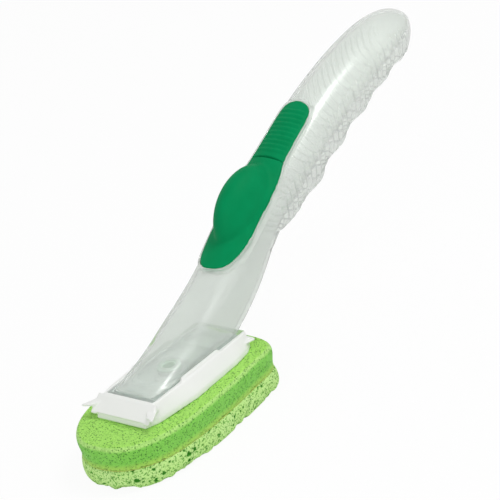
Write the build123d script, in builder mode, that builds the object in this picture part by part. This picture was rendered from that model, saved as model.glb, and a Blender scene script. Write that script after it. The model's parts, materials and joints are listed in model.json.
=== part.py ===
from build123d import *
import os
from math import atan, cos, radians, sin

os.makedirs("parts", exist_ok=True)

# Soap dispensing dish wand. Millimetres, X from toe to handle end, Y across,
# Z up, origin in the middle of the scrub face.

# Sponge
SCRUB_THICK = 10.5
FILM_THICK = 0.25
FOAM_THICK = 12.25
CHANNEL_DIA = 6.0
CHANNEL_DEPTH = 8.0

# Tray
TRAY_FLOOR = 1.6
TRAY_WALL = 1.9
TRAY_RIM_Z = 32.0
TRAY_RIBS = (-18.0, -7.0, 15.0, 28.0)
RIB_THICK = 1.4
CLIP_RISE = 1.6
CLIP_X = (-5.5, 22.5)
RAIL_DEPTH = 0.65
RAIL_HEIGHT = 0.8
RAIL_Z = 29.9
WING_THICK = 1.2
APRON_WIDTH = 34.8
APRON_MOUTH = 28.0

# Foot, with the soap outlet
FOOT_X = (-24.0, 42.4)
FOOT_WIDTH = 27.8
FOOT_THICK = 3.0
FOOT_GAP = 0.2
FOOT_TOP = 31.5
SLOT_DEPTH = 0.9
SLOT_Z = (29.2, 30.6)
SPIGOT_GAP = 0.12
SPIGOT_WALL = 1.38
SPIGOT_RISE = 1.8
OUTLET_X = 4.0
BOSS_DIA = 13.0
BOSS_RISE = 1.5
BOSS_SEAT = 0.6
VALVE_DIA = 9.0
VALVE_DROP = 2.9
VALVE_SKIN = 0.9
SLIT_LENGTH = 4.6
SLIT_WIDTH = 0.2
RING_DIA = 11.0
SEAL_DEPTH = 1.6
SEAL_FIT = 0.05

# Reservoir shells
WALL = 1.8
SEAM_GAP = 0.1
SEAM_DROP = 0.8
RIB_PITCH = 5.2
RIB_COUNT = 23
RIB_START = 85.4
RIB_HEIGHT = 1.3
RIB_BULGE = 1.8

# Green cover, its bezel and the refill hole
SEAT_DEPTH = 1.0
COVER_PROUD = 1.0
COVER_GAP = 0.05
BEZEL_PROUD = 1.3
BEZEL_WIDTH = 0.9
BEZEL_RISE = 2.0
BEZEL_FIT = 0.1
DOME_TILT = 28.0
DOME_CENTRE = (77.3, 73.0)
DOME_AXES = (23.8, 11.3, 20.3)
DOME_SKIRT = (22.3, 10.6)
DOME_WALL = 1.5
DOME_GAP = 0.3
PUMP_TRAVEL = 4.0
WAIST_X = 97.0
WAIST_GAP = 0.35
HINGE_X = 127.4
REFILL_X = 113.5
REFILL_DIA = 11.6
REFILL_COLLAR = 2.6
PLUG_DIA = 10.9
PLUG_DEPTH = 3.0
GRIP_COUNT = 10
GRIP_PITCH = 2.35
GRIP_START = 101.0
GRIP_WIDTH = 1.1
GRIP_RISE = 0.5
NAIL_PLACE = (99.5, -11.6, 90.3)
NAIL_SIZE = (7.0, 2.0, 4.0)
NAIL_ROUND = 0.9

# Handle: x, top, widest level, bottom, half width, straight side, top and bottom exponents
ROWS = [
    (-22.0, 34.0, 28.0, 23.5, 13.6, 1.5, 2.2, 3.0),
    (-5.5, 38.7, 31.5, 23.5, 13.6, 5.0, 2.3, 3.0),
    (13.5, 46.5, 39.0, 23.5, 13.0, 12.0, 2.3, 3.0),
    (28.5, 53.3, 45.3, 26.0, 12.7, 16.0, 2.3, 3.0),
    (42.5, 60.1, 51.5, 31.8, 12.7, 16.5, 2.3, 3.0),
    (56.5, 68.3, 59.0, 39.9, 13.1, 15.0, 2.3, 2.6),
    (68.5, 75.9, 66.0, 49.4, 13.5, 11.5, 2.3, 2.4),
    (80.5, 83.0, 72.5, 58.0, 13.9, 7.0, 2.25, 2.3),
    (96.5, 91.2, 79.0, 63.4, 14.1, 3.0, 2.2, 2.3),
    (111.5, 98.4, 85.0, 69.4, 14.2, 1.5, 2.2, 2.2),
    (126.5, 105.5, 91.5, 76.2, 14.2, 1.0, 2.2, 2.2),
    (146.5, 112.7, 99.0, 84.5, 14.1, 1.0, 2.2, 2.2),
    (161.5, 116.8, 103.7, 89.6, 14.0, 1.0, 2.2, 2.2),
    (176.5, 119.9, 107.3, 94.2, 13.7, 1.0, 2.2, 2.2),
    (190.5, 121.6, 109.8, 98.2, 12.9, 0.9, 2.2, 2.2),
    (201.5, 121.2, 110.9, 100.4, 11.4, 0.8, 2.2, 2.2),
    (209.5, 118.9, 111.1, 103.4, 8.8, 0.6, 2.2, 2.2),
    (213.8, 115.2, 110.9, 107.0, 5.2, 0.4, 2.1, 2.1),
    (215.5, 112.4, 110.8, 109.3, 1.6, 0.2, 2.0, 2.0),
]
# Underside of the finger grip: treads and risers of the finger lobes
LOBES = [
    (86.5, 59.3), (94.5, 60.0), (106.5, 65.2), (119.5, 66.5), (125.5, 74.2),
    (140.0, 76.4), (147.0, 83.1), (162.0, 84.6), (169.0, 90.3), (180.5, 91.5),
    (189.5, 96.3), (200.0, 95.4), (207.5, 96.8), (212.0, 101.5), (215.5, 109.0),
]
# Green cover seen from above: x, half width
COVER = [
    (43.0, 0.0), (43.6, 3.9), (45.6, 7.1), (49.2, 9.4), (54.2, 10.9), (60.6, 11.8),
    (67.2, 12.1), (74.5, 12.2), (80.5, 12.2), (86.9, 11.8), (91.9, 11.0),
    (95.6, 10.0), (100.2, 9.4), (106.5, 9.2), (113.5, 9.1), (120.5, 8.8),
    (124.5, 7.8), (126.6, 5.2), (127.3, 0.0),
]
# Sponge seen from above, with its squarer heel: x, half width
SPONGE = [
    (-51.5, 0.0), (-50.2, 8.5), (-47.0, 14.5), (-41.5, 19.8), (-33.5, 24.0),
    (-22.0, 26.6), (-8.0, 27.6), (8.0, 27.2), (22.0, 26.2), (34.0, 25.1),
    (42.5, 24.2), (48.0, 21.8), (50.7, 15.5), (51.5, 0.0),
]
# Tray seen from above at its bottom, its waist and its rim: x, half width
BOTTOM = [(-33.0, 14.4), (-26.0, 17.8), (-3.0, 21.0), (27.0, 20.0), (37.0, 18.4), (42.3, 15.5)]
MIDDLE = [(-31.8, 14.6), (-25.4, 17.6), (-3.0, 20.6), (27.0, 19.6), (37.0, 18.0), (42.0, 15.6)]
RIM = [(-24.9, 14.6), (-22.0, 15.6), (-3.0, 16.4), (27.0, 16.2), (37.0, 15.8), (41.2, 15.4)]
MIDDLE_RISE = 2.6
# Apron in side view: x, z
APRON = [(-25.6, 32.0), (-33.4, 26.4), (-33.0, 25.2), (-24.9, 30.8)]
# Corner wings seen from above on the +Y side, with their level
FRONT_WING = [(-22.0, 15.6), (-34.2, 21.4), (-32.6, 16.6), (-29.0, 14.0)]
BACK_WING = [(34.0, 16.5), (43.0, 18.9), (43.6, 13.5), (41.0, 12.0), (36.0, 13.0)]
FRONT_WING_Z = 28.6
BACK_WING_Z = 26.9

# Working space that is larger than the wand on every side
FAR = 300.0
WIDE = 40.0
TALL = 160.0

z_film = SCRUB_THICK
z_foam = z_film + FILM_THICK
z_tray = z_foam + FOAM_THICK
foot_under = FOOT_TOP - FOOT_THICK
pocket_floor = foot_under - FOOT_GAP
pocket_half = FOOT_WIDTH / 2 + FOOT_GAP


def blend(table, x, column=1):
    """Monotone cubic through a table of rows sorted by their first value."""
    xs = [row[0] for row in table]
    ys = [row[column] for row in table]
    x = min(max(x, xs[0]), xs[-1])
    slopes = [(b - a) / (q - p) for p, q, a, b in zip(xs, xs[1:], ys, ys[1:])]
    tangents = [slopes[0]]
    for left, right in zip(slopes, slopes[1:]):
        tangents.append(0.0 if left * right <= 0 else 2 * left * right / (left + right))
    tangents.append(slopes[-1])
    i = max(k for k in range(len(xs) - 1) if xs[k] <= x)
    h = xs[i + 1] - xs[i]
    t = (x - xs[i]) / h
    return ((2 * t**3 - 3 * t**2 + 1) * ys[i] + (t**3 - 2 * t**2 + t) * h * tangents[i]
            + (3 * t**2 - 2 * t**3) * ys[i + 1] + (t**3 - t**2) * h * tangents[i + 1])


def slope(column, x):
    """Slope along X of one column of the handle's table."""
    return (blend(ROWS, x + 1, column) - blend(ROWS, x - 1, column)) / 2


def section(x, grow=0.0, bottom=None, bulge=0.0):
    """Half width, levels and corner fullness of the handle skin at x, grown outwards."""
    top, wide, low, half, side, n_top, n_low = (blend(ROWS, x, k) for k in range(1, 8))
    if bottom is not None:
        low = bottom
    top += grow / cos(atan(slope(1, x)))
    low -= grow / cos(atan(slope(3, x)))
    # An exponent of n and this Bezier handle length pass through the same corner point
    full_top, full_low = ((8 * 2 ** (-1 / n) - 4) / 3 for n in (n_top, n_low))
    return half + grow, top, wide, wide - side, low, full_top, full_low, bulge


def skin(stations, half="both"):
    """Solid through sections given as (x, section): both, upper or lower half."""
    with BuildPart() as body:
        for x, (w, top, wide, side, low, full_top, full_low, bulge) in stations:
            up, down = full_top * (top - wide), full_low * (side - low)
            seam = wide - SEAM_DROP * (wide - side)
            if half == "lower":
                seam -= min(SEAM_GAP, 0.1 * (wide - side))
            inner_top, outer_low, inner_low = full_top * w, w + bulge, full_low * w + bulge / 2
            with BuildSketch(Plane(origin=(x, 0, 0), x_dir=(0, 1, 0), z_dir=(1, 0, 0))):
                with BuildLine():
                    if half != "lower":
                        foot = side if half == "both" else seam
                        Line((w, foot), (w, wide))
                        Bezier((w, wide), (w, wide + up), (inner_top, top), (0, top))
                        Bezier((0, top), (-inner_top, top), (-w, wide + up), (-w, wide))
                        Line((-w, wide), (-w, foot))
                    if half != "upper":
                        Bezier((-w, side), (-outer_low, side - down), (-inner_low, low), (0, low))
                        Bezier((0, low), (inner_low, low), (outer_low, side - down), (w, side))
                    if half == "upper":
                        Line((-w, seam), (w, seam))
                    if half == "lower":
                        Polyline((w, side), (w, seam), (-w, seam), (-w, side))
                make_face()
        loft()
    return body.part


def smooth_skin(grow=0.0, x_range=(-FAR, FAR), half="both"):
    """Skin of the handle without its finger lobes, grown outwards."""
    stations = []
    for row in ROWS:
        x, top, wide, _, half_width = row[:5]
        if not x_range[0] <= x <= x_range[1]:
            continue
        if grow < 0:
            x = x - grow if row is ROWS[0] else x
            if half_width + grow < 2.2 or top - wide + grow < 2.0:
                continue
        stations.append((x, section(x, grow)))
    return skin(stations, half)


def ribbed_skin():
    """Lower half of the handle with ribs on the finger lobes, joined from three overlapping lengths."""
    start, end = RIB_START - 2 * RIB_PITCH, RIB_START + RIB_COUNT * RIB_PITCH
    plain = [(row[0], section(row[0])) for row in ROWS if row[0] < RIB_START]
    last = RIB_COUNT * 2
    grip = []
    for k in range(-6, last + 3):
        x = RIB_START + k * RIB_PITCH / 2
        share = min(1.0, k / 4, (last - k) / 4) if k % 2 and 0 < k < last else 0.0
        bottom = blend(LOBES, x) - share * RIB_HEIGHT if k >= 0 else None
        grip.append((x, section(x, 0.0, bottom, share * RIB_BULGE)))
    nose_x = [end + 2.5 * k for k in range(-2, 4)] + [214.4, 215.5]
    nose = [(x, section(x, 0.0, blend(LOBES, x))) for x in nose_x]
    with BuildPart() as body:
        for stations, x0, x1 in ((plain, -FAR, start), (grip, start, end), (nose, end, FAR)):
            add(skin(stations, "lower") & block(x0, x1, -WIDE, WIDE, 0, TALL))
    return body.part


def outline(table, grow):
    """Closed loop of points on both sides of a table of half widths."""
    first, last = table[0][0], table[-1][0]
    rows = []
    for x, w in table:
        stretch = grow * (2 * (x - first) / (last - first) - 1)
        rows.append((x + stretch, w + grow if w > 0 else 0.0))
    return rows + [(x, -w) for x, w in reversed(rows[1:-1])]


def plan_prism(table, grow=0.0, x_range=(-FAR, FAR)):
    """Upright prism on an outline given as half widths along X."""
    with BuildPart() as body:
        with BuildSketch():
            with BuildLine():
                Spline(*outline(table, grow), periodic=True)
            make_face()
        extrude(amount=TALL)
        add(block(*x_range, -WIDE, WIDE, -1, TALL + 1), mode=Mode.INTERSECT)
    return body.part


def plan_stack(table, levels):
    """Solid through one outline, grown by a set amount at each level."""
    with BuildPart() as body:
        for z, grow in levels:
            with BuildSketch(Plane.XY.offset(z)):
                with BuildLine():
                    Spline(*outline(table, grow), periodic=True)
                make_face()
        loft()
    return body.part


def side_prism(points, half_width):
    """Prism across Y on a side view polygon."""
    with BuildPart() as body:
        with BuildSketch(Plane.XZ):
            with BuildLine():
                Polyline(*points, close=True)
            make_face()
        extrude(amount=half_width, both=True)
    return body.part


def plate(points, side, z, thick):
    """Flat plate on a polygon seen from above, mirrored to the -Y side where side is -1."""
    with BuildPart() as body:
        with BuildSketch(Plane.XY.offset(z)):
            with BuildLine():
                Polyline(*[(x, side * y) for x, y in points], close=True)
            make_face()
        extrude(amount=thick)
    return body.part


def block(x0, x1, y0, y1, z0, z1):
    with BuildPart() as body:
        with Locations(((x0 + x1) / 2, (y0 + y1) / 2, (z0 + z1) / 2)):
            Box(x1 - x0, y1 - y0, z1 - z0)
    return body.part


def side_block(side, x0, x1, inner, outer, z0, z1):
    """Block beside the middle plane, between two distances from it."""
    y0, y1 = sorted((side * inner, side * outer))
    return block(x0, x1, y0, y1, z0, z1)


def rod(x, z0, z1, dia):
    with BuildPart() as body:
        with Locations((x, 0, (z0 + z1) / 2)):
            Cylinder(dia / 2, z1 - z0)
    return body.part


def top_zone(rise):
    """Space above the widest level of the handle along the cover."""
    levels = [30.0, *[row[0] for row in ROWS if 40 < row[0] < 130], 140.0]
    low = [(x, blend(ROWS, x, 2) + rise) for x in levels]
    return side_prism([(levels[0], TALL), *low, (levels[-1], TALL)], WIDE)


def dome_plane(depth=0.0):
    """Plane across the press direction of the pump dome, at a height above its centre."""
    tilt = radians(DOME_TILT)
    x, z = DOME_CENTRE
    return Plane(origin=(x - depth * sin(tilt), 0, z + depth * cos(tilt)),
                 x_dir=(cos(tilt), 0, sin(tilt)), z_dir=(-sin(tilt), 0, cos(tilt)))


def dome_prism(grow, low, high):
    """Oval prism along the press direction of the pump dome."""
    with BuildPart() as body:
        with BuildSketch(dome_plane(low)):
            Ellipse(DOME_SKIRT[0] + grow, DOME_SKIRT[1] + grow)
        extrude(amount=high - low)
    return body.part


def dome_ball(shrink):
    """Ellipsoid of the pump dome, drawn in by the given amount."""
    with BuildPart() as body:
        Sphere(1)
        scale(by=tuple(axis - shrink for axis in DOME_AXES))
    return dome_plane().location * body.part


def top_plane(x):
    """Plane on the top line of the handle at x, its Z square to the skin."""
    tilt = atan(slope(1, x))
    return Plane(origin=(x, 0, blend(ROWS, x)), x_dir=(cos(tilt), 0, sin(tilt)),
                 z_dir=(-sin(tilt), 0, cos(tilt)))


def peg(x, low, high, dia_low, dia_high):
    """Round peg square to the top line of the handle."""
    plane = top_plane(x)
    with BuildPart() as body:
        with BuildSketch(plane.offset(low)):
            Circle(dia_low / 2)
        with BuildSketch(plane.offset(high)):
            Circle(dia_high / 2)
        loft()
    return body.part


def nail_notch():
    """Rounded notch beside the waist of the cover, where a fingernail lifts the flap."""
    with BuildPart() as body:
        with Locations(Location(NAIL_PLACE, (0, -DOME_TILT, 0))):
            Box(*NAIL_SIZE)
        fillet(body.edges(), NAIL_ROUND)
    return body.part


def tray_body(shrink, z_low=z_tray, z_high=TRAY_RIM_Z):
    """Faceted block of the tray with its walls drawn in, between two levels."""
    with BuildPart() as body:
        for table, z in ((BOTTOM, z_tray), (MIDDLE, z_tray + MIDDLE_RISE), (RIM, TRAY_RIM_Z)):
            first, last = table[0][0], table[-1][0]
            rows = [(min(max(x, first + shrink), last - shrink), w - shrink) for x, w in table]
            with BuildSketch(Plane.XY.offset(z)):
                with BuildLine():
                    Polyline(*rows, *[(x, -w) for x, w in reversed(rows)], close=True)
                make_face()
        loft(ruled=True)
        add(block(-FAR, FAR, -WIDE, WIDE, z_low, z_high), mode=Mode.INTERSECT)
    return body.part


def tray_hollow():
    """Space below the foot, with cross ribs left standing."""
    with BuildPart() as body:
        add(tray_body(TRAY_WALL, z_tray + TRAY_FLOOR, pocket_floor))
        for x in TRAY_RIBS:
            add(block(x - RIB_THICK / 2, x + RIB_THICK / 2, -WIDE, WIDE, z_tray, TALL), mode=Mode.SUBTRACT)
    return body.part


def side_clip(side):
    """Raised stretch of the tray's side wall, sloped at both ends."""
    z0, z1 = FOOT_TOP - 2.0, TRAY_RIM_Z + CLIP_RISE
    with BuildPart() as body:
        add(side_block(side, *CLIP_X, pocket_half - 0.2, pocket_half + 1.5, z0, z1))
        chamfer(body.edges().filter_by(Axis.Y).group_by(Axis.Z)[-1], 1.4)
    return body.part


def apron():
    """Sloping lip at the toe of the tray, thinned between its two cheeks."""
    mouth = APRON_MOUTH / 2
    with BuildPart() as body:
        add(side_prism(APRON, APRON_WIDTH / 2))
        add(block(-FAR, -30.0, -mouth, mouth, 0, 26.3), mode=Mode.SUBTRACT)
    return body.part


# Skins that the shells and the cover share
COVER_SPAN = (25.0, 150.0)
cavity = smooth_skin(-WALL)
seat = smooth_skin(-SEAT_DEPTH, COVER_SPAN)
under_cover = smooth_skin(COVER_GAP - SEAT_DEPTH, COVER_SPAN)
proud = smooth_skin(COVER_PROUD, COVER_SPAN, "upper")
above_foot = block(-FAR, FAR, -WIDE, WIDE, FOOT_TOP, TALL)

# Front shell with the seat of the cover, the pump opening and the collar of the refill hole
collar_dia = REFILL_DIA + REFILL_COLLAR
collar = peg(REFILL_X, -SEAT_DEPTH - PLUG_DEPTH - 0.6, -0.6, collar_dia, collar_dia)
cover_room = plan_prism(COVER, BEZEL_WIDTH + COVER_GAP) & top_zone(BEZEL_RISE - COVER_GAP)
with BuildPart() as front_shell:
    add(smooth_skin(half="upper"))
    add(above_foot, mode=Mode.INTERSECT)
    add(cavity - collar, mode=Mode.SUBTRACT)
    add(cover_room - seat, mode=Mode.SUBTRACT)
    add(dome_prism(DOME_GAP + 0.1, 1.0 - PUMP_TRAVEL, 16.0), mode=Mode.SUBTRACT)
    add(peg(REFILL_X, -9, 6, REFILL_DIA, REFILL_DIA), mode=Mode.SUBTRACT)
    add(nail_notch(), mode=Mode.SUBTRACT)

# Back shell with the ribbed finger grip
with BuildPart() as back_shell:
    add(ribbed_skin())
    add(above_foot, mode=Mode.INTERSECT)
    add(cavity, mode=Mode.SUBTRACT)

# Clear foot with its spigot, its outlet boss and the slots for the tray's rails
low_end = (-FAR, 90.0)
spigot = smooth_skin(-WALL - SPIGOT_GAP, low_end) - smooth_skin(-WALL - SPIGOT_GAP - SPIGOT_WALL, low_end)
spigot_room = block(FOOT_X[0], FOOT_X[1] - 3.0, -WIDE, WIDE, FOOT_TOP, FOOT_TOP + SPIGOT_RISE)
with BuildPart() as foot_plate:
    add(block(*FOOT_X, -FOOT_WIDTH / 2, FOOT_WIDTH / 2, foot_under, FOOT_TOP))
    add(spigot & spigot_room)
    add(rod(OUTLET_X, FOOT_TOP, FOOT_TOP + BOSS_RISE, BOSS_DIA))
    for side in (-1, 1):
        slot = side_block(side, -FAR, FAR, FOOT_WIDTH / 2 - SLOT_DEPTH, WIDE, *SLOT_Z)
        add(slot, mode=Mode.SUBTRACT)
    add(rod(OUTLET_X, 0, TALL, VALVE_DIA - 2.0), mode=Mode.SUBTRACT)
    add(rod(OUTLET_X, 0, FOOT_TOP + BOSS_SEAT, RING_DIA), mode=Mode.SUBTRACT)

# Outlet valve: a rubber cup with a crossed slit in its floor
valve_low = FOOT_TOP - VALVE_DROP
valve_neck = FOOT_TOP - VALVE_SKIN
with BuildPart() as outlet_valve:
    add(rod(OUTLET_X, valve_neck, FOOT_TOP + BOSS_SEAT, RING_DIA - BEZEL_FIT))
    add(rod(OUTLET_X, valve_low, valve_neck, VALVE_DIA - 1.6))
    add(rod(OUTLET_X, valve_low + VALVE_SKIN, TALL, VALVE_DIA - 3.4), mode=Mode.SUBTRACT)
    for length, width in ((SLIT_LENGTH, SLIT_WIDTH), (SLIT_WIDTH, SLIT_LENGTH)):
        slit = block(OUTLET_X - length / 2, OUTLET_X + length / 2, -width / 2, width / 2, 0, TALL)
        add(slit, mode=Mode.SUBTRACT)

# Ring that holds the valve in the boss
with BuildPart() as valve_ring:
    add(rod(OUTLET_X, foot_under, valve_neck - SEAL_FIT, RING_DIA - BEZEL_FIT))
    add(rod(OUTLET_X, 0, TALL, VALVE_DIA - 1.3), mode=Mode.SUBTRACT)

# Sponge: coarse scrub layer, glue film and fine foam with its soap channel
with BuildPart() as scrub_layer:
    add(plan_stack(SPONGE, [(0.0, -1.6), (1.2, -0.2), (4.0, 0.7), (z_film, 0.1)]))
with BuildPart() as layer_film:
    add(plan_stack(SPONGE, [(z_film, -0.2), (z_foam, -0.2)]))
with BuildPart() as foam_pad:
    add(plan_stack(SPONGE, [(z_foam, 0.1), (z_foam + 6.0, 0.3), (z_tray - 0.9, -0.1), (z_tray, -0.9)]))
    add(rod(OUTLET_X, z_tray - CHANNEL_DEPTH, TALL, CHANNEL_DIA), mode=Mode.SUBTRACT)

# Head tray with the pocket of the foot, its clips, rails, apron, wings and outlet
seal_low = pocket_floor - SEAL_DEPTH
with BuildPart() as head_tray:
    add(tray_body(0.0))
    for side in (-1, 1):
        add(side_clip(side))
    add(tray_hollow(), mode=Mode.SUBTRACT)
    add(rod(OUTLET_X, z_tray, pocket_floor - FOOT_GAP, RING_DIA + 5.0))
    pocket = block(FOOT_X[0] - FOOT_GAP, FAR, -pocket_half, pocket_half, pocket_floor, TALL)
    add(pocket, mode=Mode.SUBTRACT)
    for side in (-1, 1):
        add(side_block(side, *CLIP_X, pocket_half - RAIL_DEPTH, pocket_half + 0.5,
                       RAIL_Z - RAIL_HEIGHT / 2, RAIL_Z + RAIL_HEIGHT / 2))
    add(apron())
    for side in (-1, 1):
        add(plate(FRONT_WING, side, FRONT_WING_Z, WING_THICK))
        add(plate(BACK_WING, side, BACK_WING_Z, WING_THICK))
    add(rod(OUTLET_X, 0, TALL, CHANNEL_DIA), mode=Mode.SUBTRACT)
    groove = rod(OUTLET_X, seal_low, TALL, RING_DIA + 2.4) - rod(OUTLET_X, 0, TALL, RING_DIA - 1.4)
    add(groove, mode=Mode.SUBTRACT)

# Rubber seal between the tray and the foot
with BuildPart() as outlet_seal:
    add(rod(OUTLET_X, seal_low + SEAL_FIT, foot_under - SEAL_FIT, RING_DIA + 2.3))
    add(rod(OUTLET_X, 0, TALL, RING_DIA - 1.3), mode=Mode.SUBTRACT)

# Clear bezel round the cover
with BuildPart() as cover_bezel:
    add(smooth_skin(BEZEL_PROUD, COVER_SPAN, "upper"))
    add(plan_prism(COVER, BEZEL_WIDTH), mode=Mode.INTERSECT)
    add(top_zone(BEZEL_RISE), mode=Mode.INTERSECT)
    add(under_cover, mode=Mode.SUBTRACT)
    add(plan_prism(COVER, BEZEL_FIT), mode=Mode.SUBTRACT)

# Green cover: the fixed seat, with its opening for the dome
with BuildPart() as cover_seat:
    add(proud)
    add(plan_prism(COVER, x_range=(30.0, WAIST_X)), mode=Mode.INTERSECT)
    add(under_cover, mode=Mode.SUBTRACT)
    add(dome_prism(DOME_GAP, -20, 30), mode=Mode.SUBTRACT)

# Green cover: the hollow pump dome
with BuildPart() as pump_dome:
    add(dome_ball(0.0))
    add(dome_prism(0.0, 0.5, 30), mode=Mode.INTERSECT)
    add(dome_ball(DOME_WALL) & dome_prism(-DOME_WALL, -5, 30), mode=Mode.SUBTRACT)

# Green cover: the refill flap with its grip ribs and its hollow plug
with BuildPart() as grip_bars:
    for k in range(GRIP_COUNT):
        with BuildSketch(top_plane(GRIP_START + GRIP_PITCH * k).offset(-6)):
            Rectangle(GRIP_WIDTH, WIDE)
        extrude(amount=12)
    add(smooth_skin(COVER_PROUD + GRIP_RISE, COVER_SPAN, "upper"), mode=Mode.INTERSECT)
    add(plan_prism(COVER, -1.2, x_range=(WAIST_X + 1, HINGE_X - 2)), mode=Mode.INTERSECT)
    add(smooth_skin(COVER_PROUD - 0.3, COVER_SPAN), mode=Mode.SUBTRACT)
with BuildPart() as refill_flap:
    add(proud)
    add(plan_prism(COVER, x_range=(WAIST_X + WAIST_GAP, HINGE_X)), mode=Mode.INTERSECT)
    add(under_cover, mode=Mode.SUBTRACT)
    add(grip_bars.part)
    add(peg(REFILL_X, -SEAT_DEPTH - PLUG_DEPTH, -SEAT_DEPTH + 0.6, PLUG_DIA - 1.0, PLUG_DIA))
    hollow_low, hollow_high = -SEAT_DEPTH - PLUG_DEPTH - 1.0, -SEAT_DEPTH - 0.6
    add(peg(REFILL_X, hollow_low, hollow_high, PLUG_DIA - 4.4, PLUG_DIA - 3.4), mode=Mode.SUBTRACT)

pieces = {
    "front_shell": front_shell, "back_shell": back_shell, "foot_plate": foot_plate,
    "outlet_valve": outlet_valve, "valve_ring": valve_ring, "scrub_layer": scrub_layer,
    "layer_film": layer_film, "foam_pad": foam_pad, "head_tray": head_tray,
    "outlet_seal": outlet_seal, "cover_bezel": cover_bezel, "cover_seat": cover_seat,
    "pump_dome": pump_dome, "refill_flap": refill_flap,
}
for name, piece in pieces.items():
    piece.part.label = name
    export_step(piece.part, f"parts/{name}.step")
    print(name, len(piece.part.solids()), "solids,", round(piece.part.volume), "mm3")
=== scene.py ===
# %% [markdown]
# This lesson dresses a soap dispensing dish wand: a clear plastic handle that holds liquid soap, a soft
# green cover with a pump dome, and a white tray that carries a two layer sponge. The construction model
# gives every piece its place and size, but its edges are sharp and its sponge layers are plain. So most
# pieces here are copies of the model's, remeshed on a fine grid and smoothed, which rounds their edges as
# moulding does, and the sponge gets its pores. Four pieces that hardly show are only painted. The first
# cell loads the model.

# %% Load the construction model
import json
import math
import random

import bpy
import numpy as np
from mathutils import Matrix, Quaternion, Vector, kdtree, noise


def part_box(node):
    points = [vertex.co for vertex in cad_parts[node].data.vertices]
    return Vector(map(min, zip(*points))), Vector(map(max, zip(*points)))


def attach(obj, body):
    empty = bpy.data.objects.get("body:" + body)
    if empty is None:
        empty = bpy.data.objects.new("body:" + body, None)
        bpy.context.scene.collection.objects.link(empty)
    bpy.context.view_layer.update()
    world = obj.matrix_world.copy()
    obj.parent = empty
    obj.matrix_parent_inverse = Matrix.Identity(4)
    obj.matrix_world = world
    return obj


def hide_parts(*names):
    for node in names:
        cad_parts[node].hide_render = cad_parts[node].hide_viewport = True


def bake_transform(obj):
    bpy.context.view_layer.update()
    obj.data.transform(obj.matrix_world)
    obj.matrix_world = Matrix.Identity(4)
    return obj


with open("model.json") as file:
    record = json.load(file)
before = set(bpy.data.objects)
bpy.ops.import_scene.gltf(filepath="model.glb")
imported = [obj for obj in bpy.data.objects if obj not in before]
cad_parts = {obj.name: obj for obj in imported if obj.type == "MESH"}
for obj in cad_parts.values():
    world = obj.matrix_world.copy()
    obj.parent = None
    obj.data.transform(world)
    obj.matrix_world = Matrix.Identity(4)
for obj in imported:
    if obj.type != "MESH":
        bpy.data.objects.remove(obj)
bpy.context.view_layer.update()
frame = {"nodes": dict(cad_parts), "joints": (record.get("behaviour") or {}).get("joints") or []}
nodes = frame["nodes"]
MM = 0.001
print("pieces in the model:", sorted(nodes))

# %% [markdown]
# Shader maths reads best as plain arithmetic. A small class wraps one socket of a node tree and overloads
# the operators, so that an expression such as 1 - mask adds its Math nodes by itself. Every other node
# comes from one method, which sets the node's settings first and then gives its sockets their values or
# links.


# %% Shader arithmetic
class Signal:
    """One socket of a node tree. Arithmetic on signals adds Math nodes."""

    def __init__(self, tree, socket=None):
        self.tree = tree
        self.socket = socket

    def node(self, kind, settings=None, values=None, output=0):
        """Adds a node of this kind and returns one of its outputs."""
        made = self.tree.nodes.new(kind)
        for name, setting in (settings or {}).items():
            setattr(made, name, setting)
        for name, value in (values or {}).items():
            if isinstance(value, Signal):
                self.tree.links.new(value.socket, made.inputs[name])
            else:
                made.inputs[name].default_value = value
        return Signal(self.tree, made.outputs[output] if made.outputs else None)

    def maths(self, operation, *terms):
        """Adds a Math node with this operation."""
        return self.node("ShaderNodeMath", {"operation": operation}, dict(enumerate(terms)))

    def __add__(self, other):
        return self.maths("ADD", self, other)

    def __sub__(self, other):
        return self.maths("SUBTRACT", self, other)

    def __rsub__(self, other):
        return self.maths("SUBTRACT", other, self)

    def __mul__(self, other):
        return self.maths("MULTIPLY", self, other)

    def between(self, low, high):
        """0 below low, 1 above high, smooth between them."""
        return self.node("ShaderNodeMapRange", {"interpolation_type": "SMOOTHSTEP"},
                         {"Value": self, "From Min": low, "From Max": high})

    def blend(self, first, second):
        """Mixes two colours, with self as the share of the second."""
        return self.node("ShaderNodeMix", {"data_type": "RGBA"}, {0: self, 6: first, 7: second}, output=2)


def start_material(name):
    """A new material with an empty tree. Returns it, a start for its nodes, and its Object coordinates."""
    material = bpy.data.materials.new(name)
    material.use_nodes = True
    material.node_tree.nodes.clear()
    start = Signal(material.node_tree)
    return material, start, start.node("ShaderNodeTexCoord", output="Object")


def grain(place, scale, detail=2.0):
    """Soft noise from 0 to 1, with scale grains to the metre."""
    return place.node("ShaderNodeTexNoise", {}, {"Vector": place, "Scale": scale, "Detail": detail})


def cells(place, scale):
    """Distance from the middle of round cells, with scale cells to the metre."""
    return place.node("ShaderNodeTexVoronoi", {}, {"Vector": place, "Scale": scale})


def measure(start, name):
    """A number that the mesh keeps for each vertex under this name, or 0 where it keeps none."""
    return start.node("ShaderNodeAttribute", {"attribute_name": name}, output="Fac")


def finish_material(start, values, height=None, depth=0.0):
    """Principled surface with an optional bump of that depth in metres."""
    if height is not None:
        values["Normal"] = start.node("ShaderNodeBump", {}, {"Height": height, "Distance": depth})
    surface = start.node("ShaderNodeBsdfPrincipled", {}, values)
    start.node("ShaderNodeOutputMaterial", {}, {"Surface": surface})


def paint(piece, material):
    """Gives the whole piece one material."""
    piece.data.materials.clear()
    piece.data.materials.append(material)


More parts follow.
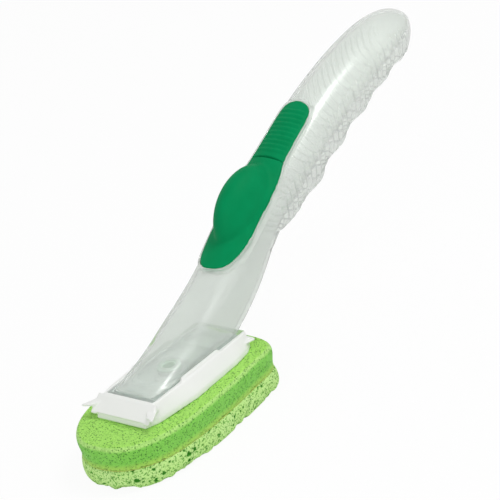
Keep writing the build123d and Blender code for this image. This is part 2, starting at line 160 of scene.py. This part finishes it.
# %% [markdown]
# The handle is injection moulded from clear plastic with a slight green grey tint. Real transmission
# shows the ribs through the wall. Two walls of full index bend the light into hard black lines, which the
# photograph doesn't have, so the index is low here and a soft coat brings the gloss back. Some milky haze
# is mixed in. It grows where the surface turns away from the eye. In the creases between the ribs, which a
# measure on the mesh marks, the haze is stronger and darker, and that is painted shade. A shadow ray
# doesn't bend, so it takes such a surface as solid: for those rays it is a plain transparent shader, and
# the handle stays bright inside.


# %% Clear plastic
SOFT_IOR = 1.07
COAT_IOR = 1.45
PLASTIC_HAZE = 0.22
RIM_HAZE = 0.30
# In the creases the haze is stronger and darker, as painted shade.
CREASE_SHADE_SHARE = 0.55
GRAZING_HAZE = 0.3
GRAZING_FACING = (0.72, 1.0)
UNEVENNESS = 0.04
HAZE_PALE = (0.84, 0.87, 0.84, 1)
# The pale haze is milky plastic. The dark one is painted shade in the creases.
PAINTED_CREASE_SHADE = (0.24, 0.27, 0.25, 1)


def clear_plastic(name, tint, roughness, haze_share=PLASTIC_HAZE):
    """Clear plastic of this tint, with haze that grows at grazing edges, and painted shade in marked
    creases.
    """
    material, start, place = start_material(name)
    marks = grain(place, 900.0) * UNEVENNESS
    glass = start.node("ShaderNodeBsdfPrincipled", {}, {
        "Base Color": tint, "Roughness": marks + roughness, "IOR": SOFT_IOR, "Transmission Weight": 1.0,
        "Coat Weight": 0.7, "Coat Roughness": 0.2, "Coat IOR": COAT_IOR})
    crease = measure(start, "crease")
    facing = start.node("ShaderNodeLayerWeight", {}, {"Blend": 0.5}, output="Facing")
    grazing = facing.between(*GRAZING_FACING)
    haze_and_shade = start.node("ShaderNodeBsdfPrincipled", {}, {
        "Base Color": crease.blend(HAZE_PALE, PAINTED_CREASE_SHADE), "Roughness": 0.35, "Specular IOR Level": 0.3})
    share = marks + haze_share + crease * CREASE_SHADE_SHARE + grazing * GRAZING_HAZE
    hazy = start.node("ShaderNodeMixShader", {}, {0: share, 1: glass, 2: haze_and_shade})
    through = start.node("ShaderNodeBsdfTransparent", {}, {"Color": tint})
    shadow = start.node("ShaderNodeLightPath", output="Is Shadow Ray")
    mixed = start.node("ShaderNodeMixShader", {}, {0: shadow, 1: hazy, 2: through})
    start.node("ShaderNodeOutputMaterial", {}, {"Surface": mixed})
    return material


handle_clear = clear_plastic("clear_handle", (0.845, 0.87, 0.845, 1), roughness=0.03)
# The foot's darker tint is painted shade: the grey of the tray seen through the handle.
foot_clear = clear_plastic("clear_foot", (0.75, 0.80, 0.785, 1), roughness=0.05)
rim_clear = clear_plastic("clear_rim", (0.93, 0.95, 0.93, 1), roughness=0.08, haze_share=RIM_HAZE)
print("clear plastics made")

# %% [markdown]
# The cover is a soft emerald rubber with a satin skin. The tray is a bright white moulding. Both are
# nearly one colour, so a faint mottling and a very shallow grain keep them from looking like paint. The
# valve and the seal in the foot are hardly seen, so one plain rubber in two tints does for them.


# %% Rubber and white plastic
RUBBER_GRAIN = 2500.0
PALE_RUBBER = (0.60, 0.66, 0.60, 1)


def green_rubber():
    """Satin emerald rubber of the cover."""
    material, start, place = start_material("green_rubber")
    cloud = grain(place, 120.0)
    fine = grain(place, RUBBER_GRAIN)
    finish_material(start, {
        "Base Color": cloud.blend((0.0002, 0.225, 0.075, 1), (0.0006, 0.28, 0.10, 1)),
        "Roughness": fine * 0.1 + 0.5, "Specular IOR Level": 0.05}, fine, depth=0.04 * MM)
    return material


def white_plastic():
    """Bright white plastic of the tray."""
    material, start, place = start_material("white_plastic")
    cloud = grain(place, 60.0)
    finish_material(start, {
        "Base Color": cloud.blend((0.84, 0.86, 0.83, 1), (0.90, 0.91, 0.88, 1)),
        "Roughness": cloud * 0.1 + 0.32}, grain(place, 1800.0), depth=0.02 * MM)
    return material


def plain_rubber(name, tint):
    """Matt rubber, mottled from this tint to a pale one."""
    material, start, place = start_material(name)
    fine = grain(place, RUBBER_GRAIN)
    finish_material(start, {"Base Color": fine.blend(tint, PALE_RUBBER), "Roughness": 0.6},
                    fine, depth=0.03 * MM)
    return material


cover_green = green_rubber()
tray_white = white_plastic()
paint(nodes["valve_ring"], foot_clear)
paint(nodes["outlet_valve"], plain_rubber("valve_rubber", (0.12, 0.42, 0.16, 1)))
paint(nodes["outlet_seal"], plain_rubber("seal_rubber", (0.74, 0.77, 0.74, 1)))
print("rubbers and white plastic made")

# %% [markdown]
# A construction mesh is a set of loose triangles, and it is never changed itself. A copy of it is merged
# and then worked on as by hand: a modifier is added, set and applied. Where the real wand has one
# moulding and the model has two pieces, the copies of both are joined first, and the remesh closes the
# gap between them.


# %% Copy, remesh and smooth
SMOOTH_STEP = 0.5
MERGE_WITHIN = 0.001 * MM


def select_only(*pieces):
    """Selects these pieces and nothing else, and makes the first one active."""
    bpy.ops.object.select_all(action="DESELECT")
    for piece in pieces:
        piece.select_set(True)
    bpy.context.view_layer.objects.active = pieces[0]


def copy_of(name, *sources):
    """One new mesh from copies of model pieces, with their loose triangles merged."""
    copies = []
    for source in sources:
        twin = nodes[source].copy()
        twin.data = nodes[source].data.copy()
        twin.parent = None
        for tag in list(twin.keys()):
            del twin[tag]
        bpy.context.scene.collection.objects.link(twin)
        copies.append(twin)
    select_only(*copies)
    if len(copies) > 1:
        bpy.ops.object.join()
    piece = bpy.context.view_layer.objects.active
    piece.name = name
    piece.data.name = name
    bpy.ops.object.mode_set(mode="EDIT")
    bpy.ops.mesh.select_all(action="SELECT")
    bpy.ops.mesh.remove_doubles(threshold=MERGE_WITHIN)
    bpy.ops.object.mode_set(mode="OBJECT")
    return piece


def use_modifier(piece, kind, **settings):
    """Adds a modifier, sets it and applies it."""
    select_only(piece)
    modifier = piece.modifiers.new("step", kind)
    for name, value in settings.items():
        setattr(modifier, name, value)
    bpy.ops.object.modifier_apply(modifier=modifier.name)


def grow(piece, amount):
    """Moves every vertex outwards by that amount, or inwards where it is negative."""
    use_modifier(piece, "DISPLACE", strength=amount, mid_level=0.0)


def remesh(piece, voxel):
    """Builds the surface anew on an even grid of that size."""
    use_modifier(piece, "REMESH", mode="VOXEL", voxel_size=voxel)


def smooth_out(piece, rounds, group=""):
    """Smooths the whole piece, or only a vertex group of it."""
    use_modifier(piece, "SMOOTH", factor=SMOOTH_STEP, iterations=rounds, vertex_group=group)


def shade_smooth(piece):
    """Shades the piece as one smooth surface."""
    select_only(piece)
    bpy.ops.object.shade_smooth()


# %% [markdown]
# Ribs and pores are easier to push than to model. For these the vertices are taken out as an array, moved
# by a formula and put back. An array of one number per vertex can also weight a vertex group, which tells
# a modifier where to work, or it stays on the mesh as a measure that a material reads.


# %% Vertices as arrays
def coordinates(piece):
    """Places of the vertices, one row each."""
    co = np.empty(len(piece.data.vertices) * 3)
    piece.data.vertices.foreach_get("co", co)
    return co.reshape(-1, 3)


def normals(piece):
    """Directions in which the vertices face, one row each."""
    directions = np.empty(len(piece.data.vertices) * 3)
    piece.data.vertices.foreach_get("normal", directions)
    return directions.reshape(-1, 3)


def place_vertices(piece, co):
    """Puts the vertices where these rows say."""
    piece.data.vertices.foreach_set("co", co.ravel())
    piece.data.update()


def add_measure(piece, name, values):
    """Keeps one number per vertex under a name that a material can read."""
    kept = piece.data.attributes.new(name, "FLOAT", "POINT")
    kept.data.foreach_set("value", values.astype(np.float32))


def weight_group(piece, name, shares):
    """Vertex group with these weights, without the vertices that have none."""
    group = piece.vertex_groups.new(name=name)
    for index in np.flatnonzero(shares > 0):
        group.add([int(index)], float(shares[index]), "REPLACE")
    return group.name


def step_between(values, low, high):
    """0 below low, 1 above high, smooth between them."""
    share = np.clip((values - low) / (high - low), 0, 1)
    return share * share * (3 - 2 * share)


# %% [markdown]
# Every moulding has slightly rounded edges, and they catch the soft lines of light that tell a real part
# from a drawing. One helper makes all but the cover: it remeshes a copy and smooths it by a few rounds.
# The cut across the waist of the cover is left out of that, because it has to stay a hairline.

# %% Soft moulded edges
CRISP_WITHIN = 0.6 * MM
SOFT_BEYOND = 3 * MM
waist = (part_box("cover_seat")[1][0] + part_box("refill_flap")[0][0]) / 2


def away_from_cut(piece):
    """Vertex group that leaves out the cut at the waist of the cover."""
    from_cut = abs(coordinates(piece)[:, 0] - waist)
    return weight_group(piece, "away_from_cut", step_between(from_cut, CRISP_WITHIN, SOFT_BEYOND))


def moulding(name, sources, finish, body, voxel, rounds, weld=0.0, keep=1.0, cut=False, shape=None):
    """A copy of model pieces with soft moulded edges, which stands for them."""
    piece = copy_of(name, *sources)
    if weld:
        grow(piece, weld)
    remesh(piece, voxel)
    if weld:
        grow(piece, -weld)
    smooth_out(piece, rounds, away_from_cut(piece) if cut else "")
    if shape:
        shape(piece)
    if keep < 1.0:
        use_modifier(piece, "DECIMATE", ratio=keep)
    shade_smooth(piece)
    paint(piece, finish)
    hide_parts(*sources)
    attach(piece, body)
    print(name, len(piece.data.polygons), "faces")
    return piece


# %% [markdown]
# The grip has about thirty fine ribs across it, some 4 mm apart, round the underside and half way up each
# side. The model's ribs are coarser and shallower, so they are smoothed away on the copy. The fine ones
# are then raised as half round bumps along the normals, on the outer wall only. How deep each vertex lies
# in a crease is kept as a measure, weaker on the underside than at the sides.

# %% Ribs of the grip
RIB_PITCH = 4.15 * MM
RIB_FIRST = 84.6 * MM
RIB_LAST = 209.0 * MM
RIB_RISE = 1.6 * MM
RIB_SINK = 0.45
RIBS_BEGIN = (RIB_FIRST - 2 * MM, RIB_FIRST + 1 * MM)
RIBS_END = (RIB_LAST - 8 * MM, RIB_LAST)
RIBS_UP_TO = (88, 122)
SMOOTHING_ROUNDS = 90
OUTER_FACING = 0.25
CREASE_BELOW = 0.25
CREASE_TURNS = (35, 75)
CREASE_HEIGHTS = (0.15, 0.65)
SLICE = 3.0 * MM


def place_in_section(co):
    """How far each vertex lies across and up its section of the handle, both from -1 to 1."""
    slices = np.floor(co[:, 0] / SLICE).astype(int)
    slices -= slices.min()
    sections = [co[slices == k] for k in range(slices.max() + 1)]
    stations = [section[:, 0].mean() for section in sections]
    low = np.interp(co[:, 0], stations, [section[:, 2].min() for section in sections])
    high = np.interp(co[:, 0], stations, [section[:, 2].max() for section in sections])
    half = np.interp(co[:, 0], stations, [abs(section[:, 1]).max() for section in sections])
    return co[:, 1] / half, (co[:, 2] - (low + high) / 2) / ((high - low) / 2)


def rib_the_grip(piece):
    """Smooths the coarse ribs of the copy away and raises the fine ones."""
    co, directions = coordinates(piece), normals(piece)
    across, upward = place_in_section(co)
    outer = across * directions[:, 1] + upward * directions[:, 2] > OUTER_FACING
    # The turn is 0 degrees at the underside and 90 degrees at the widest level.
    turn = np.degrees(np.arctan2(abs(across), -upward))
    share = 1 - step_between(turn, *RIBS_UP_TO)
    share *= step_between(co[:, 0], *RIBS_BEGIN)
    share *= 1 - step_between(co[:, 0], *RIBS_END)
    smooth_out(piece, SMOOTHING_ROUNDS, weight_group(piece, "grip", share))
    piece.vertex_groups.clear()
    share *= outer
    co, directions = coordinates(piece), normals(piece)
    phase = np.mod((co[:, 0] - RIB_FIRST) / RIB_PITCH, 1)
    bump = np.sqrt(np.clip(1 - (2 * phase - 1) ** 2, 0, 1))
    co += directions * (share * (bump - RIB_SINK) * RIB_RISE)[:, None]
    place_vertices(piece, co)
    smooth_out(piece, 1)
    # The crease measure places painted shade in the creases of the plastic.
    beside = CREASE_BELOW + (1 - CREASE_BELOW) * step_between(turn, *CREASE_TURNS)
    add_measure(piece, "crease", share * beside * (1 - step_between(bump, *CREASE_HEIGHTS)))


# %% [markdown]
# The two halves of the handle are taken to be welded, and a weld leaves no gap to look into. The model
# keeps a hairline between them, so copies of both are grown a little, remeshed as one body and drawn
# back. The foot and the rim round the cover stay apart.

# %% Clear mouldings
WELD = 0.12 * MM
moulding("clear_handle", ("front_shell", "back_shell"), handle_clear, "handle",
         voxel=0.55 * MM, rounds=8, weld=WELD, keep=0.6, shape=rib_the_grip)
moulding("clear_foot", ("foot_plate",), foot_clear, "handle", voxel=0.4 * MM, rounds=4)
moulding("clear_rim", ("cover_bezel",), rim_clear, "handle", voxel=0.3 * MM, rounds=3)

# %% [markdown]
# The green cover is one soft moulding: a flat leaf with the pump dome swelling out of it. The model holds
# the leaf and the dome apart, because the dome moves. Copies of both are joined and remeshed. The skirt
# of the dome, where it meets the leaf, is read from the model, and a vertex group along it tells the
# smoothing where to draw the fillet. The flap goes on past the waist, so the cut there is then drawn shut
# to a hairline.


# %% Green cover
CUT_DRAW = 0.12 * MM
DRAW_WITHIN = (0.5 * MM, 4 * MM)
SKIRT_HEIGHT = 0.1 * MM
FILLET_REACH = 3.5 * MM
FILLET_WEIGHT = 1.6
FILLET_ROUNDS = 70
pump = next(joint for joint in frame["joints"] if joint["name"] == "pump_press")
press = Vector(pump["axis"])
dome_points = [vertex.co for vertex in nodes["pump_dome"].data.vertices]
crown = max(-press.dot(point) for point in dome_points)
skirt_level = min(-press.dot(point) for point in dome_points)
skirt = [point for point in dome_points if -press.dot(point) < skirt_level + SKIRT_HEIGHT]
skirt_middle = sum(skirt, Vector()) / len(skirt)
along = press.cross(Vector((0, 1, 0))).normalized()
skirt_length = max(abs((point - skirt_middle).dot(along)) for point in skirt)
skirt_width = max(abs(point.y) for point in skirt)


def close_cut(piece, towards):
    """Draws the end of a piece at the waist towards the other, so that the cut is a hairline."""
    co = coordinates(piece)
    co[:, 0] += towards * CUT_DRAW * (1 - step_between(abs(co[:, 0] - waist), *DRAW_WITHIN))
    place_vertices(piece, co)


def foot_of_dome(piece):
    """Vertex group round the foot of the dome, strongest on the line where it leaves the leaf."""
    group = piece.vertex_groups.new(name="dome_foot")
    for vertex in piece.data.vertices:
        offset = vertex.co - skirt_middle
        ring = math.hypot(offset.dot(along) / skirt_length, offset.y / skirt_width)
        share = 1 - abs(ring - 1) * skirt_width / FILLET_REACH
        if share > 0:
            group.add([vertex.index], min(1.0, FILLET_WEIGHT * share), "REPLACE")
    return group.name


cover = copy_of("green_cover", "cover_seat", "pump_dome")
remesh(cover, voxel=0.45 * MM)
smooth_out(cover, rounds=6, group=away_from_cut(cover))
smooth_out(cover, rounds=FILLET_ROUNDS, group=foot_of_dome(cover))
cover.vertex_groups.clear()
close_cut(cover, 1)
shade_smooth(cover)
paint(cover, cover_green)
print("green cover:", len(cover.data.polygons), "faces")

# %% [markdown]
# The tray is a moulding too, with many small edges. The helper rounds them all a little at once, where by
# hand each would need a bevel of its own.

# %% White tray
moulding("white_tray", ("head_tray",), tray_white, "head", voxel=0.45 * MM, rounds=5)

# %% [markdown]
# The dome is pressed along its own axis, which leans back from the vertical. Real rubber doesn't slide:
# its foot stays with the leaf while its crown sinks. Here the points on the axis where such a bend would
# start and end are found, and the cover's place is baked into its mesh. The mesh itself is not set to bend.

# %% Let the dome flex
BEND_FROM = 11.0 * MM
BEND_TO = 2.0 * MM
axis_point = skirt_middle - press * press.dot(skirt_middle)
bend_start = axis_point - press * (crown - BEND_FROM)
bend_end = axis_point - press * (crown - BEND_TO)
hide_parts("cover_seat", "pump_dome")
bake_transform(cover)
print("the dome bends over", round((BEND_FROM - BEND_TO) / MM, 1), "mm")

# %% [markdown]
# The flap is the tail of the cover, which lifts to refill the handle, so it is a piece of its own on the
# flap's body. It has the rubber and the soft edges of the cover, and its end at the waist is drawn
# towards it.

# %% Refill flap
flap = moulding("green_flap", ("refill_flap",), cover_green, "flap",
                voxel=0.4 * MM, rounds=7, cut=True)
flap.vertex_groups.clear()
close_cut(flap, -1)

# %% [markdown]
# A sponge layer starts as a copy of the plain solid, remeshed densely enough to carry pores. A slow swell
# keeps its faces from being dead flat. Pores are pressed in around chosen points, each a little stretched
# and with a wobbly edge, and how deep each vertex lies in one is kept as a measure that the colour
# follows: the deeper, the darker, which is painted shade.


# %% Pores for sponges
FULL_PIT = 0.6 * MM
PORE_SEARCH = 1.5
PORE_STRETCH = 0.35
WOBBLE_SCALE = 900


def press_pores(piece, seed, kinds, wobble):
    """Presses pores in. Each kind is (count, smallest radius, largest radius, depth in radii).

    The square makes small pores the most common, and most are stretched sideways.
    """
    rng = random.Random(seed)
    co, directions = coordinates(piece), normals(piece)
    pores = []
    for count, small, large, depth in kinds:
        for _ in range(count):
            radius = small + (large - small) * rng.random() ** 2
            stretch = Vector((rng.gauss(0, 1), rng.gauss(0, 1), rng.gauss(0, 0.5))).normalized()
            pores.append((rng.randrange(len(co)), radius, depth, stretch))
    tree = kdtree.KDTree(len(co))
    for i, point in enumerate(co):
        tree.insert(point, i)
    tree.balance()
    sink = np.zeros(len(co))
    for centre, radius, depth, stretch in pores:
        middle = Vector(co[centre])
        for point, i, _ in tree.find_range(middle, radius * PORE_SEARCH):
            away = point - middle
            lengthwise = away.dot(stretch)
            away -= stretch * lengthwise * PORE_STRETCH
            share = away.length / radius + wobble * noise.noise(point * WOBBLE_SCALE)
            if share < 1:
                sink[i] = max(sink[i], radius * depth * (1 - share * share))
    place_vertices(piece, co - directions * sink[:, None])
    # The pit measure darkens the colour in the pores: painted shade.
    add_measure(piece, "pit", np.clip(sink / FULL_PIT, 0, 1))


def swell(piece, amount, size):
    """Slow uneven swell of the faces, with hills of about that size."""
    co, directions = coordinates(piece), normals(piece)
    rise = np.array([noise.noise(Vector(point) / size) for point in co]) * amount
    place_vertices(piece, co + directions * rise[:, None])


def finish_layer(piece, finish, source):
    """Shades and paints a sponge layer, hides the model piece it replaces, and ties it to the head's body.
    """
    shade_smooth(piece)
    paint(piece, finish)
    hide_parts(source)
    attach(piece, "head")
    print(piece.name, len(piece.data.polygons), "faces")


# %% [markdown]
# The upper layer is a fine foam. The photograph shows its sides deep green, its rounded heel pale, and
# its top between them, so the colour follows how far each vertex faces upwards: the lighter top is
# painted light and the pale rounded edges are a painted highlight. Small dark dots stand for the pores
# between the pressed ones, as painted shade in them, and the lowest strip takes the tint of the glue.


# %% Foam layer
FACING_ROUNDED = (0.10, 0.42)
FACING_TOP = (0.62, 0.93)
FOAM_SIDE = (0.225, 0.64, 0.085, 1)
FOAM_SIDE_LIGHT = (0.29, 0.72, 0.12, 1)
# The rounded edge and top colours are painted light: a painted highlight and a lit top.
FOAM_EDGE_HIGHLIGHT = (0.53, 0.88, 0.25, 1)
FOAM_LIT_TOP = (0.44, 0.85, 0.15, 1)
FOAM_MOTTLE = (0.12, 0.44, 0.04, 1)
# The dot colour is painted shade in small pores.
FOAM_PORE_SHADE = (0.06, 0.30, 0.02, 1)
FOAM_GLUED = (0.47, 0.72, 0.13, 1)
# The pit colour is painted shade in the pressed pores.
FOAM_PIT_SHADE = (0.08, 0.34, 0.03, 1)
GLUED_BELOW = 11.2 * MM
FOAM_ABOVE = 14.5 * MM
FOAM_PORES = [(2600, 0.35 * MM, 0.65 * MM, 0.6)]


def foam_material():
    """Fine green foam, with painted light by how far it faces upwards, and painted shade by how deep it
    lies in a pore.
    """
    material, start, place = start_material("fine_foam")
    cloud = grain(place, 90.0)
    fine = grain(place, 1300.0, detail=4.0)
    dots = 1 - cells(place, 900.0).between(0.18, 0.32)
    upward = measure(start, "upward")
    side = cloud.blend(FOAM_SIDE, FOAM_SIDE_LIGHT)
    rounded = upward.between(*FACING_ROUNDED).blend(side, FOAM_EDGE_HIGHLIGHT)
    topped = upward.between(*FACING_TOP).blend(rounded, FOAM_LIT_TOP)
    mottled = (fine.between(0.35, 0.65) * -0.3 + 0.3).blend(topped, FOAM_MOTTLE)
    dotted = (dots * 0.8).blend(mottled, FOAM_PORE_SHADE)
    height = start.node("ShaderNodeSeparateXYZ", {}, {"Vector": place}, output="Z")
    glue = 1 - height.between(GLUED_BELOW, FOAM_ABOVE)
    glued = (glue * 0.7).blend(dotted, FOAM_GLUED)
    finish_material(start, {
        "Base Color": (measure(start, "pit") * 0.5).blend(glued, FOAM_PIT_SHADE), "Roughness": 0.9,
        "Specular IOR Level": 0.15, "Sheen Weight": 0.15}, fine - dots, depth=0.4 * MM)
    return material


foam = copy_of("foam_layer", "foam_pad")
remesh(foam, voxel=0.6 * MM)
smooth_out(foam, rounds=4)
swell(foam, amount=0.3 * MM, size=16 * MM)
add_measure(foam, "upward", np.clip(normals(foam)[:, 2], 0, 1))
press_pores(foam, seed=3, kinds=FOAM_PORES, wobble=0.3)
finish_layer(foam, foam_material(), "foam_pad")

# %% [markdown]
# The scrubbing layer is cellulose: paler, coarser, with large irregular holes and a ragged lower edge.
# Bites along that edge come first, around points on the rim. It then gets two kinds of pores, many small
# ones and some large ones, and its colour has dark winding marks where the noise runs low. Its pores are
# darkened by their depth, which is painted shade.


# %% Cellulose layer
MARK_EDGE = (0.38, 0.47)
PIT_EDGE = (0.15, 0.8)
SCRUB_PALE = (0.50, 0.84, 0.22, 1)
SCRUB_PALEST = (0.68, 0.95, 0.40, 1)
SCRUB_MARK = (0.11, 0.40, 0.04, 1)
# The pit colour is painted shade in the pores.
SCRUB_PIT_SHADE = (0.04, 0.25, 0.015, 1)
SCRUB_PORES = [(5200, 0.3 * MM, 0.6 * MM, 0.9), (260, 0.6 * MM, 1.1 * MM, 0.9)]
RIM_BELOW = 1.0 * MM
RIM_STEEPNESS = 0.8
BITE_SHAPE = (1, 1, 0.6)
BITE_INWARD = 0.6


def scrub_material():
    """Coarse pale cellulose with dark marks, and painted shade in its pores."""
    material, start, place = start_material("coarse_cellulose")
    cloud = grain(place, 110.0)
    fine = grain(place, 1100.0, detail=5.0)
    pale = cloud.blend(SCRUB_PALE, SCRUB_PALEST)
    marks = 1 - fine.between(*MARK_EDGE)
    marked = (marks * 0.85).blend(pale, SCRUB_MARK)
    pit = measure(start, "pit").between(*PIT_EDGE)
    finish_material(start, {
        "Base Color": pit.blend(marked, SCRUB_PIT_SHADE), "Roughness": 0.85, "Specular IOR Level": 0.2},
        fine, depth=0.6 * MM)
    return material


def ragged_rim(piece, seed, count, small, large, lift):
    """Bites along the lower edge, each lifting the rim and drawing it in."""
    rng = random.Random(seed)
    co = coordinates(piece)
    rim = np.flatnonzero((co[:, 2] < RIM_BELOW) & (np.abs(normals(piece)[:, 2]) < RIM_STEEPNESS))
    for centre in rng.sample(list(rim), count):
        middle = co[centre].copy()
        radius = small + (large - small) * rng.random()
        share = step_between(1 - np.linalg.norm((co - middle) * BITE_SHAPE, axis=1) / radius, 0, 1)
        co[:, 2] += share * lift * (0.5 + rng.random())
        inward = -middle * (1, 1, 0) / np.linalg.norm(middle[:2])
        co += share[:, None] * inward * lift * BITE_INWARD
    place_vertices(piece, co)


scrub = copy_of("scrubbing_layer", "scrub_layer")
remesh(scrub, voxel=0.55 * MM)
smooth_out(scrub, rounds=6)
ragged_rim(scrub, seed=5, count=46, small=2.0 * MM, large=4.5 * MM, lift=0.9 * MM)
press_pores(scrub, seed=8, kinds=SCRUB_PORES, wobble=0.5)
finish_layer(scrub, scrub_material(), "scrub_layer")

# %% [markdown]
# The glue between the two layers shows only as a thin yellowish line along their edge. Its model piece is
# left as it is and painted.


# %% Glue film
def glue_material():
    """Yellowish glue, mottled."""
    material, start, place = start_material("glue_film")
    cloud = grain(place, 700.0)
    finish_material(start, {"Base Color": cloud.blend((0.45, 0.60, 0.10, 1), (0.62, 0.74, 0.20, 1)),
                            "Roughness": 0.5})
    return material


paint(nodes["layer_film"], glue_material())
print("glue film painted")

# %% [markdown]
# The stage is a pale floor under soft light. The floor looks almost white to the camera and still shows the
# shadow. The world looks white to the camera and nearly so in the gloss and through the plastic, and it
# gives the object a dimmer, even fill. A large soft key lamp hangs high up and to the right, and a weaker
# lamp in front, on the left, opens the shadows.


# %% Floor, world and lamps
FLOOR_SIZE = 6
FLOOR_GLOW = 0.93
FLOOR_SHADE = (0.93, 0.93, 0.93, 1)
MIRRORED_LEVEL = 0.93
FILL_LEVEL = 0.55
AIM = Vector((52.3, -19.3, 69.0)) * MM


def add_lamp(name, place, size, power):
    """A round area lamp that is turned to the point where the camera aims."""
    bpy.ops.object.light_add(type="AREA", location=place)
    lamp = bpy.context.object
    lamp.name = name
    lamp.data.shape = "DISK"
    lamp.data.size = size
    lamp.data.energy = power
    lamp.rotation_mode = "QUATERNION"
    lamp.rotation_quaternion = (AIM - Vector(place)).to_track_quat("-Z", "Y")


def floor_material():
    """Mostly a white glow for the camera's rays, and a matt pale floor for all others."""
    material, start, _ = start_material("pale_floor")
    path = start.node("ShaderNodeLightPath", output="Is Camera Ray")
    glow = start.node("ShaderNodeEmission", {}, {"Color": (1, 1, 1, 1), "Strength": 1.0})
    matt = start.node("ShaderNodeBsdfDiffuse", {}, {"Color": FLOOR_SHADE})
    mixed = start.node("ShaderNodeMixShader", {}, {0: path * FLOOR_GLOW, 1: matt, 2: glow})
    start.node("ShaderNodeOutputMaterial", {}, {"Surface": mixed})
    return material


bpy.ops.mesh.primitive_plane_add(size=FLOOR_SIZE)
floor = bpy.context.object
floor.name = "floor"
paint(floor, floor_material())

world = bpy.data.worlds.new("studio")
bpy.context.scene.world = world
world.use_nodes = True
world.node_tree.nodes.clear()
sky = Signal(world.node_tree)
seen = sky.node("ShaderNodeLightPath", output="Is Camera Ray")
mirrored = sky.node("ShaderNodeLightPath", output="Is Glossy Ray")
passed = sky.node("ShaderNodeLightPath", output="Is Transmission Ray")
clear_level = sky.maths("MAXIMUM", mirrored, passed) * MIRRORED_LEVEL
level = sky.maths("MAXIMUM", sky.maths("MAXIMUM", seen, clear_level), FILL_LEVEL)
glow = sky.node("ShaderNodeBackground", {}, {"Color": (1, 1, 1, 1), "Strength": level})
sky.node("ShaderNodeOutputWorld", {}, {"Surface": glow})

add_lamp("key", (0.36, -0.52, 1.12), size=0.45, power=5.5)
add_lamp("fill", (-0.95, -0.35, 0.55), size=0.6, power=2.5)
print("floor, world and two lamps made")

# %% [markdown]
# The camera stands where the photograph was taken from. Its place, the point that it aims at and its roll
# were worked out from the perspective of the wand in the photograph, and it has a long lens, as for
# product pictures.

# %% Camera
CAMERA_PLACE = Vector((-622.3, -670.2, 522.8)) * MM
CAMERA_ROLL = math.radians(-13.09)
LENS = 165.6
FARTHEST = 20
bpy.ops.object.camera_add(location=CAMERA_PLACE)
camera = bpy.context.object
camera.data.lens = LENS
camera.data.clip_end = FARTHEST
camera.rotation_mode = "QUATERNION"
roll = Quaternion((0, 0, 1), CAMERA_ROLL)
camera.rotation_quaternion = (AIM - CAMERA_PLACE).to_track_quat("-Z", "Y") @ roll
bpy.context.scene.camera = camera
bpy.context.scene.view_settings.view_transform = "Standard"
print("camera", round((AIM - CAMERA_PLACE).length, 3), "m from where it aims")
